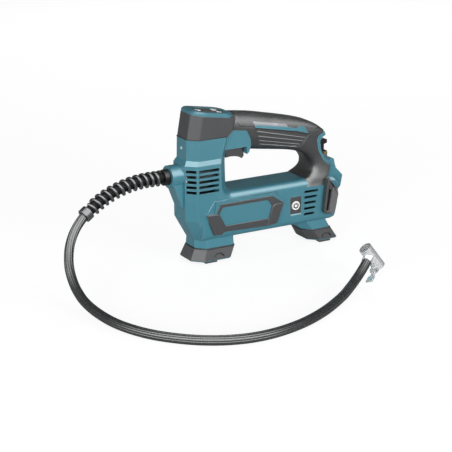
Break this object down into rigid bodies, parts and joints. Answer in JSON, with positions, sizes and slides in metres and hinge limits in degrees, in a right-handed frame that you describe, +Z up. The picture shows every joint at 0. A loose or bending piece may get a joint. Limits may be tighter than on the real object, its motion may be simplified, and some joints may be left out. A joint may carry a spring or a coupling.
{
  "type": "portable tire inflator",
  "caption": "Cordless tyre inflator with a tower display, carrying handle with trigger, rubber shoes, and a hose with a bend guard and lever chuck.",
  "frame": {"origin": "middle of the footprint of the tool without its hose, on the floor", "axes": "front with the hose outlet is -X, the side with the power button is -Y, +Z up"},
  "size_m": [0.359, 0.273, 0.1709],
  "materials": {
    "teal_plastic": "fine moulded satin",
    "dark_plastic": "moulded, fine matt grain",
    "black_plastic": "smooth, slightly glossy",
    "window": "clear over black, glossy",
    "key_rubber": "silicone rubber",
    "lamp_lens": "clear light guide",
    "grip_rubber": "soft over-mould, fine grain",
    "foot_rubber": "soft, matt",
    "silver_plastic": "metallic paint, satin",
    "button_white": "white, printed symbol",
    "circuit_board": "solder mask",
    "brass": "turned",
    "steel": "bright",
    "motor_can": "zinc plated",
    "cast_alloy": "die cast",
    "chrome": "polished plating over brass",
    "hose_rubber": "ribbed, matt",
    "guard_rubber": "smooth moulded",
    "clear_tube": "translucent nylon",
    "seal_rubber": "smooth"
  },
  "bodies": {
    "tool": {"housing_left": "teal_plastic", "housing_right": "teal_plastic", "display_cap": "dark_plastic", "display_bezel": "teal_plastic", "display_window": "window", "display_board": "circuit_board", "tower_lamp_lens": "lamp_lens", "grip_left": "grip_rubber", "grip_right": "grip_rubber", "grip_inlay_left": "silver_plastic", "grip_inlay_right": "silver_plastic", "grip_accent_left": "teal_plastic", "grip_accent_right": "teal_plastic", "trigger_switch": "black_plastic", "button_plate": "dark_plastic", "button_board": "circuit_board", "badge_frame_left": "dark_plastic", "badge_frame_right": "dark_plastic", "front_shoe": "foot_rubber", "rear_shoe": "foot_rubber", "foot_pads": "foot_rubber", "side_holder_left": "dark_plastic", "side_holder_right": "dark_plastic", "terminal_block": "black_plastic", "battery_contacts": "brass", "motor": "motor_can", "gear_bearing": "steel", "gear_frame": "cast_alloy", "pump_cylinder": "cast_alloy", "cylinder_head": "cast_alloy", "outlet_tube": "clear_tube", "pressure_sensor": "black_plastic", "control_board": "circuit_board", "housing_screws": "steel", "hose_nut": "brass", "guard_collar": "guard_rubber", "guard_spring": "guard_rubber", "guard_ferrule": "guard_rubber", "hose": "hose_rubber", "chuck_body": "chrome", "chuck_seal": "seal_rubber", "lever_pin": "steel"},
    "trigger": {"trigger": "dark_plastic"},
    "power_button": {"power_button": "button_white"},
    "plus_key": {"plus_key": "key_rubber"},
    "minus_key": {"minus_key": "key_rubber"},
    "mode_key": {"mode_key": "key_rubber"},
    "drive_gear": {"drive_gear": "steel"},
    "rotor": {"motor_shaft": "steel", "motor_pinion": "steel", "fan": "black_plastic"},
    "piston": {"piston_rod": "cast_alloy", "piston_seal": "seal_rubber", "crank_pin": "steel"},
    "lever": {"chuck_lever": "chrome"}
  },
  "joints": [
    {"name": "trigger_pull", "type": "slide", "parent": "tool", "child": "trigger", "axis": [0, 0, 1], "range_m": [0, 0.004], "stiffness_N_per_m": 800},
    {"name": "power_press", "type": "slide", "parent": "tool", "child": "power_button", "axis": [0, 1, 0], "range_m": [0, 0.0008], "stiffness_N_per_m": 1500},
    {"name": "plus_press", "type": "slide", "parent": "tool", "child": "plus_key", "axis": [-0.1564, 0, -0.9877], "range_m": [0, 0.0006], "stiffness_N_per_m": 1000},
    {"name": "minus_press", "type": "slide", "parent": "tool", "child": "minus_key", "axis": [-0.1564, 0, -0.9877], "range_m": [0, 0.0006], "stiffness_N_per_m": 1000},
    {"name": "mode_press", "type": "slide", "parent": "tool", "child": "mode_key", "axis": [-0.1564, 0, -0.9877], "range_m": [0, 0.0006], "stiffness_N_per_m": 1000},
    {"name": "gear_spin", "type": "hinge", "parent": "tool", "child": "drive_gear", "pos_m": [-0.0642, 0, 0.0436], "axis": [1, 0, 0], "continuous": true},
    {"name": "rotor_spin", "type": "hinge", "parent": "tool", "child": "rotor", "pos_m": [-0.0642, 0, 0.0596], "axis": [1, 0, 0], "continuous": true},
    {"name": "piston_stroke", "type": "slide", "parent": "tool", "child": "piston", "axis": [0, 0, 1], "range_m": [-0.012, 0]},
    {"name": "lever_turn", "type": "hinge", "parent": "tool", "child": "lever", "pos_m": [0.05516, -0.15492, 0.01103], "axis": [0.274, -0.8919, 0.3598], "range_deg": [0, 90]}
  ],
  "couplings": [
    {"joint": "rotor_spin", "follows": "gear_spin", "ratio": -3}
  ]
}
